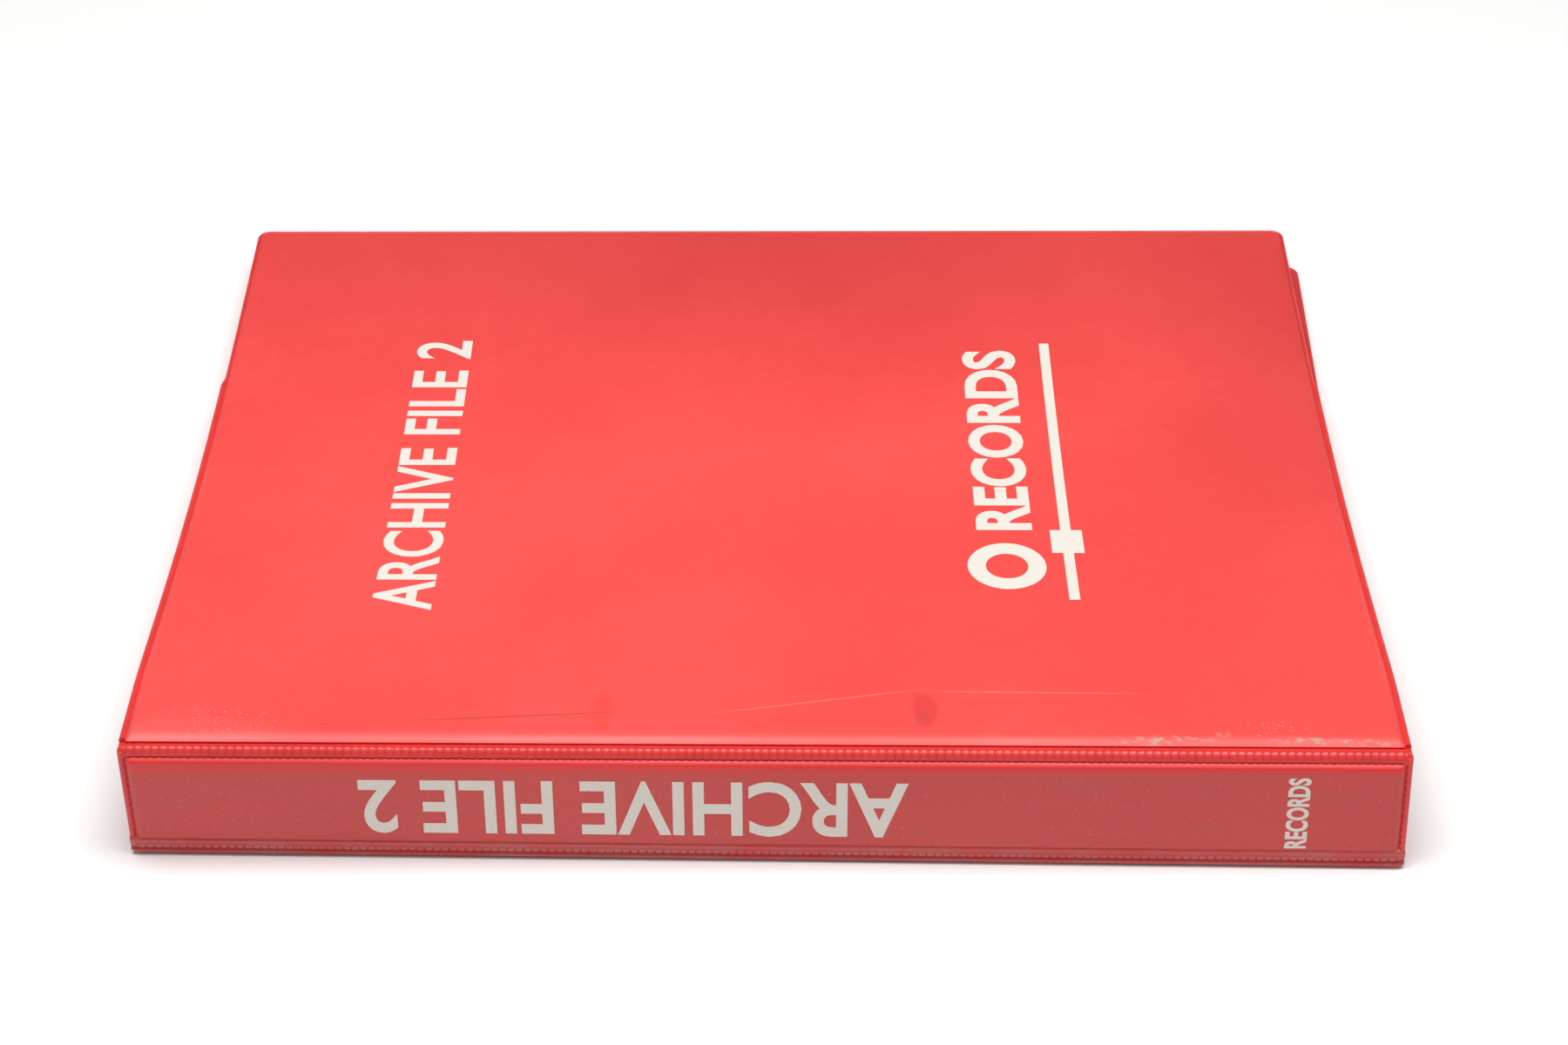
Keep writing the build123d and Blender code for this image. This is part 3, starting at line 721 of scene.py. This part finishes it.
def millboard(name):
    """Grey millboard pressed from waste paper: matt, with short fibres."""
    made, tree, shader, place = fresh(name)
    fibres = noise(tree, stretched(tree, place, (300.0, 1300.0, 1300.0)), 1.0, 5.0)
    painted(tree, shader, mixed(tree, fibres, bpy.context.scene.file_finish.millboard, linear("#7D7568")))
    shader.inputs["Roughness"].default_value = 0.9
    bumped(tree, shader, fibres, 0.05 * MM, 0.6)
    return made


def background_paper(name):
    """Matt white background paper with a faint fibre."""
    made, tree, shader, place = fresh(name)
    fibre = clouds(tree, place, 0.0006, 2.0, 0.3, 0.7)
    floor = bpy.context.scene.file_studio.floor
    painted(tree, shader, mixed(tree, times(tree, fibre, 0.03), floor, linear("#D8D6D2")))
    shader.inputs["Roughness"].default_value = 0.85
    shader.inputs["Specular IOR Level"].default_value = 0.2
    return made


def kept(name, maker, *values):
    """The material of that name, made once."""
    return bpy.data.materials.get(name) or maker(name, *values)


def weld_finish():
    """Red of the pressed welds."""
    finish = bpy.context.scene.file_finish
    # The upper weld's lines between cells are darkened a little, partly dirt and partly painted shade.
    return kept("pressed vinyl weld", pressed_vinyl, finish.weld, finish.vinyl_deep, 0.3)


def liner_finish():
    """Red of the inner sheets."""
    finish = bpy.context.scene.file_finish
    return kept("calendered vinyl liner", calendered_vinyl, finish.liner, finish.vinyl_deep)


# ------------------------------------------------------------------ lettering
def lettering(words, weight):
    """Outlines of a line of words as a closed solid, thickened by weight: (points scaled to 0..1 along, up
    and through the print, faces)."""
    curve = bpy.data.curves.new("lettering", "FONT")
    curve.body = words
    curve.extrude = 0.02
    curve.offset = weight
    curve.resolution_u = 5
    holder = bpy.data.objects.new("lettering", curve)
    bpy.context.scene.collection.objects.link(holder)
    mesh = bpy.data.meshes.new_from_object(holder)
    bpy.data.objects.remove(holder)
    bpy.data.curves.remove(curve)
    shell = bmesh.new()
    shell.from_mesh(mesh)
    bmesh.ops.remove_doubles(shell, verts=shell.verts, dist=1e-4)
    bmesh.ops.recalc_face_normals(shell, faces=shell.faces)
    shell.to_mesh(mesh)
    shell.free()
    points = np.zeros(len(mesh.vertices) * 3)
    mesh.vertices.foreach_get("co", points)
    points = points.reshape(-1, 3)
    faces = [tuple(face.vertices) for face in mesh.polygons]
    bpy.data.meshes.remove(mesh)
    return (points - points.min(0)) / np.ptp(points, axis=0), faces


def print_height(through):
    """Height of a point of the print over the vinyl: from 0.6 of its thickness below at 0 to all of it above
    at 1."""
    sunk = 0.6
    return bpy.context.scene.file_words.ink * ((1 + sunk) * through - sunk)


def on_cover_print(x, s, through):
    """Place of a point of the print on the front cover."""
    rim = bpy.context.scene.file_cover.rim
    face = padded_face(x, s, HALF - rim, FRONT_DEPTH - rim)
    return on_front(x, s, face + print_height(through))


def on_spine_print(x, z, through):
    """Place of a point of the print on the spine."""
    rim = bpy.context.scene.file_cover.rim
    face = padded_face(x, z - SPINE_FOOT, HALF - rim, SPINE_HEAD - SPINE_FOOT, True)
    return on_spine(x, z, face + print_height(through))


def between(ends, share):
    """The place at that share of the way between two ends in mm, in metres."""
    return (ends[0] + (ends[1] - ends[0]) * share) * MM


# ------------------------------------------------------------------ operators
class BuildFrontCover(bpy.types.Operator):
    """Front cover: outer and inner sheet over its board, rim weld and pocket"""
    bl_idname = "lever_file.front_cover"
    bl_label = "Front cover"

    def execute(self, context):
        finish = context.scene.file_finish
        red = kept("calendered vinyl cover", calendered_vinyl, finish.vinyl, finish.vinyl_deep, cover_marks)
        cover_sheets("front_cover", on_front, FRONT_DEPTH, red)
        cover_rim("front_cover", on_front, FRONT_DEPTH)
        self.pocket()
        return {"FINISHED"}

    def pocket(self):
        """Pocket sheet under the cover: a grid whose rows shorten towards the four cut corners, with a ridge
        of weld along three sides, and slack as the square of a half sine."""
        half, cut, sheet = 110 * MM, 17.5 * MM, 0.3 * MM
        low, high = FRONT_DEPTH - 152 * MM, FRONT_DEPTH - 12 * MM
        edge_band, edge_share = 6 * MM, 0.96
        ridge_height, ridge_at, ridge_width, droop = 0.25 * MM, 2.2 * MM, 0.7 * MM, 0.5 * MM
        clear = 0.55 * MM                           # pocket's outer face under the liner
        share = graded((-1, -edge_share, 10), (-edge_share, edge_share, 60), (edge_share, 1, 10))
        s = graded((low, low + edge_band, 10), (low + edge_band, high - edge_band, 44),
                   (high - edge_band, high, 10))
        share, s = np.meshgrid(share, s)
        width = half - cut + np.clip(np.minimum(s - low, high - s), 0, cut)
        x = share * width
        edge = np.minimum(width - np.abs(x), high - s)
        ridge = ridge_height * np.exp(-((edge - ridge_at) / ridge_width) ** 2)
        slack = droop * np.sin(pi * np.clip((s - low) / (high - low), 0, 1)) ** 2 * (1 - share ** 2)
        face = -PANEL - clear - ridge - slack
        points, faces = thick_sheet(on_front(x, s, face), on_front(x, s, face + sheet))
        piece("front_cover_pocket_sheet", points, faces, liner_finish(), "front_cover",
              ["front_cover_pocket"])


class BuildBackCover(bpy.types.Operator):
    """Back cover: outer and inner sheet over its board and rim weld, with hollows for the rivet washers"""
    bl_idname = "lever_file.back_cover"
    bl_label = "Back cover"

    def execute(self, context):
        finish = context.scene.file_finish
        low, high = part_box("rivet_washers")
        radius, sink = 4.75 * MM, 0.9 * MM
        dents = [(x, y - SPINE_Y - BACK_START, radius, sink)
                 for x in (low.x + radius, high.x - radius) for y in (low.y + radius, high.y - radius)]
        red = kept("calendered vinyl back", calendered_vinyl, finish.vinyl, finish.vinyl_deep)
        cover_sheets("back_cover", on_back, BACK_DEPTH, red, dents)
        cover_rim("back_cover", on_back, BACK_DEPTH)
        return {"FINISHED"}


class BuildSpine(bpy.types.Operator):
    """Spine: outer and inner sheet over its board, and a rim weld at each end"""
    bl_idname = "lever_file.spine"
    bl_label = "Spine"

    def execute(self, context):
        finish = context.scene.file_finish
        # The spine's sheet takes the darker red that paints its shade.
        red = kept("calendered vinyl spine", calendered_vinyl, finish.vinyl_spine, finish.vinyl_deep,
                   spine_marks)
        half, height = HALF - context.scene.file_cover.rim, SPINE_HEAD - SPINE_FOOT
        x, s = np.meshgrid(*face_lines(half, height))
        vinyl_pair("spine", on_spine_panel, x, s, padded_face(x, s, half, height, True), 0.0, red)
        inset = 1.8 * MM
        x, s = np.meshgrid(graded((inset - half, half - inset, 40)), graded((inset, height - inset, 8)))
        panel_board("spine", on_spine_panel, x, s)
        self.ends()
        return {"FINISHED"}

    def ends(self):
        """Rim welds of the spine: the section of the rim carried up each end."""
        foot, head = 2.2 * MM, 31.9 * MM
        z = np.arange(foot, head, PATH_STEP)
        for side, name in ((-1, "left"), (1, "right")):
            path = np.stack([np.full_like(z, side * HALF), z], -1)
            inward = np.stack([np.full_like(z, -side), np.zeros_like(z)], -1)
            points, faces = swept(rim_rings(path, inward, z, on_spine, np.zeros_like(z)))
            piece(f"spine_rim_{name}", points, faces, weld_finish(), "spine")


class BuildHingeWelds(bpy.types.Operator):
    """Ribbed hinge welds that bend between the spine and each cover"""
    bl_idname = "lever_file.hinge_welds"
    bl_label = "Hinge welds"

    def execute(self, context):
        finish = context.scene.file_finish
        made = hinge_strip("front_hinge_strip", FRONT_WELD, (0.15, 0.54), weld_finish())
        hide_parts("front_hinge_weld")
        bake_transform(made)
        # The lower weld takes the duller red, partly dust and partly painted sheen, and darker lines between
        # its cells, partly dirt and partly painted shade.
        dusty = kept("pressed vinyl weld, dusty", pressed_vinyl, finish.weld_dusty, finish.vinyl_deep, 0.8)
        made = hinge_strip("back_hinge_strip", BACK_WELD, (0.52, 0.68), dusty)
        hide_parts("back_hinge_weld")
        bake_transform(made)
        return {"FINISHED"}

    def across(self, near, far):
        """Start and end of a blend across a weld, square to the settled weld: near and far are (y, z) in mm
        before settling."""
        ends = [on_spine(np.array([-HALF, HALF]), z * MM, -y * MM) for y, z in (near, far)]
        along = (ends[0][1] - ends[0][0]) / np.linalg.norm(ends[0][1] - ends[0][0])
        start, step = ends[0].mean(0), ends[1].mean(0) - ends[0].mean(0)
        return tuple(start.tolist()), tuple((start + step - along * np.dot(step, along)).tolist())


class PrintLettering(bpy.types.Operator):
    """Plain words, a ring, a rule and a block, printed on the front cover and the spine"""
    bl_idname = "lever_file.lettering"
    bl_label = "Lettering"

    def execute(self, context):
        words = context.scene.file_words
        title, word, cover, spine = words.title, words.word, on_cover_print, on_spine_print
        # Each line: its weight, whether it runs along X, and its ends in mm of x, and of s or z.
        lines = (
            ("cover_title", title, 0.018, False, cover, (-86.4, -102.4), (59.4, 202.2), "front_cover"),
            ("cover_word", word, 0.035, False, cover, (71.2, 55.8), (102.0, 197.0), "front_cover"),
            ("spine_title", title, 0.022, True, spine, (34.9, -99.5), (24.8, 8.0), "spine"),
            ("spine_word", word, 0.035, False, spine, (132.9, 127.4), (6.0, 27.0), "spine"))
        for name, text, weight, along_x, surface, x_ends, other_ends, body in lines:
            shares, faces = lettering(text, weight)
            along, up, through = shares.T
            across, onward = (along, up) if along_x else (up, along)
            points = surface(between(x_ends, across), between(other_ends, onward), through)
            self.printed(name, points, faces, body)
        self.bar("cover_rule", (78.5, 81.3), (65.6, 200.7), 1.0)
        self.bar("cover_block", (75.6, 84.2), (90.0, 102.0), 1.15)
        self.ring()
        return {"FINISHED"}

    def printed(self, name, points, faces, body="front_cover"):
        """A piece of the print."""
        piece(name, points, faces, kept("screen print", screen_print), body)

    def bar(self, name, x_ends, s_ends, top):
        """A plain bar of print on the cover, top being how far through the print its face lies."""
        columns, rows = 6, 60
        x, s = np.meshgrid(np.linspace(*x_ends, columns) * MM, np.linspace(*s_ends, rows) * MM)
        self.printed(name, *thick_sheet(on_cover_print(x, s, top), on_cover_print(x, s, 0.0)))

    def ring(self):
        """An oval ring on the cover: a square section carried round, closed both ways."""
        x, s, outer, inner, longer, steps = 63.2, 83.0, 10.4, 5.6, 1.15, 96
        turns = np.linspace(0, 2 * pi, steps + 1)[:-1]
        turn, width = np.meshgrid(turns, [outer, outer, inner, inner], indexing="ij")
        through = np.broadcast_to([0.0, 1.0, 1.0, 0.0], turn.shape)
        points = on_cover_print(
            (x + width * np.cos(turn)) * MM, (s + longer * width * np.sin(turn)) * MM, through)
        self.printed("cover_ring", points, quads(np.pad(numbered(*turn.shape), ((0, 1), (0, 1)), "wrap")))


class FinishMechanism(bpy.types.Operator):
    """Metal and plastic finishes of the lever arch mechanism, whose shapes are the frame's own"""
    bl_idname = "lever_file.mechanism"
    bl_label = "Mechanism finishes"

    def execute(self, context):
        finish = context.scene.file_finish
        rolled, drawn = (60.0, 2600.0, 2600.0), (900.0, 900.0, 900.0)
        strip = kept("nickel-plated strip", nickel_plate, 0.20, rolled)
        wire = kept("nickel-plated wire", nickel_plate, 0.10, drawn)
        black = kept("moulded black plastic", moulded_plastic, finish.grip, 0.30, 0.6 * MM)
        nylon = kept("moulded nylon", moulded_plastic, finish.nylon, 0.38, 0.5 * MM)
        finishes = (
            (strip, ("base_plate", "lever", "compressor_bar", "rivets", "rivet_washers")),
            (wire, ("left_post", "right_post", "lever_pin", "roller_pin", "arch_wire")),
            (black, ("lever_grip", "compressor_collars")),
            (nylon, ("roller",)))
        for paint, names in finishes:
            for name in names:
                node = frame["nodes"][name]
                if not node.material_slots:
                    node.data.materials.append(paint)
                for held in node.material_slots:
                    held.material = paint
        return {"FINISHED"}


class SetStage(bpy.types.Operator):
    """Pale floor, soft light and the camera"""
    bl_idname = "lever_file.stage"
    bl_label = "Floor, light and camera"

    def execute(self, context):
        studio = context.scene.file_studio
        self.floor()
        self.light("softbox", (0.0, -0.08, 1.1), 0, (1.15, 0.55), studio.softbox)
        self.light("front_light", (0.0, -0.72, 1.1), radians(32), (1.3, 0.6), studio.front_light)
        world = bpy.data.worlds.new("studio")
        context.scene.world = world
        world.use_nodes = True
        background = world.node_tree.nodes["Background"]
        background.inputs["Color"].default_value = (1.0, 1.0, 1.0, 1.0)
        background.inputs["Strength"].default_value = studio.sky
        eye = bpy.data.cameras.new("camera")
        eye.lens, eye.sensor_width = studio.lens, 36.0
        eye.clip_start, eye.clip_end = 0.01, 20.0
        holder = bpy.data.objects.new("camera", eye)
        holder.location, holder.rotation_euler = studio.camera_place, studio.camera_turn
        context.scene.collection.objects.link(holder)
        context.scene.camera = holder
        context.scene.view_settings.view_transform = "Standard"
        return {"FINISHED"}

    def floor(self):
        """A square of background paper just under the file."""
        reach, lines, below = 3.0, 25, 0.3 * MM
        x, y = np.meshgrid(np.linspace(-reach, reach, lines), np.linspace(-reach, reach, lines))
        mesh = bpy.data.meshes.new("floor")
        points = np.stack([x, y, np.full_like(x, -below)], -1)
        mesh.from_pydata(points.reshape(-1, 3).tolist(), [], quads(numbered(lines, lines)))
        mesh.materials.append(kept("background paper", background_paper))
        made = bpy.data.objects.new("floor", mesh)
        bpy.context.scene.collection.objects.link(made)

    def light(self, name, place, tilt, size, power):
        """A rectangular soft light of that size and power, tipped about X."""
        lamp = bpy.data.lights.new(name, "AREA")
        lamp.shape, lamp.energy = "RECTANGLE", power
        lamp.size, lamp.size_y = size
        holder = bpy.data.objects.new(name, lamp)
        holder.location, holder.rotation_euler = place, (tilt, 0, 0)
        bpy.context.scene.collection.objects.link(holder)


OPERATORS = (
    BuildFrontCover, BuildBackCover, BuildSpine, BuildHingeWelds, PrintLettering, FinishMechanism, SetStage)
GROUPS = {
    "file_cover": CoverShape, "file_weld": WeldPattern, "file_finish": Finishes, "file_words": Lettering,
    "file_studio": Studio}


class FilePanel(bpy.types.Panel):
    """Sidebar panel that lists the sizes, the finishes and the pieces"""
    bl_idname = "VIEW3D_PT_lever_file"
    bl_label = "Lever Arch File"
    bl_space_type = "VIEW_3D"
    bl_region_type = "UI"
    bl_category = "Lever Arch File"

    def draw(self, context):
        for key, group in GROUPS.items():
            box = self.layout.box()
            box.label(text=group.__doc__)
            for name in group.__annotations__:
                box.prop(getattr(context.scene, key), name)
        for operator in OPERATORS:
            self.layout.operator(operator.bl_idname)


def register():
    """Registers the property groups, the operators and the panel."""
    for made in (*GROUPS.values(), *OPERATORS, FilePanel):
        bpy.utils.register_class(made)
    for key, group in GROUPS.items():
        setattr(bpy.types.Scene, key, PointerProperty(type=group))


def unregister():
    """Removes the property groups, the operators and the panel."""
    for key in GROUPS:
        delattr(bpy.types.Scene, key)
    for made in reversed((*GROUPS.values(), *OPERATORS, FilePanel)):
        bpy.utils.unregister_class(made)


def main():
    """Builds the whole file."""
    register()
    bpy.ops.lever_file.stage()
    bpy.ops.lever_file.back_cover()
    bpy.ops.lever_file.spine()
    bpy.ops.lever_file.front_cover()
    bpy.ops.lever_file.hinge_welds()
    bpy.ops.lever_file.lettering()
    bpy.ops.lever_file.mechanism()


if __name__ == "__main__":
    main()
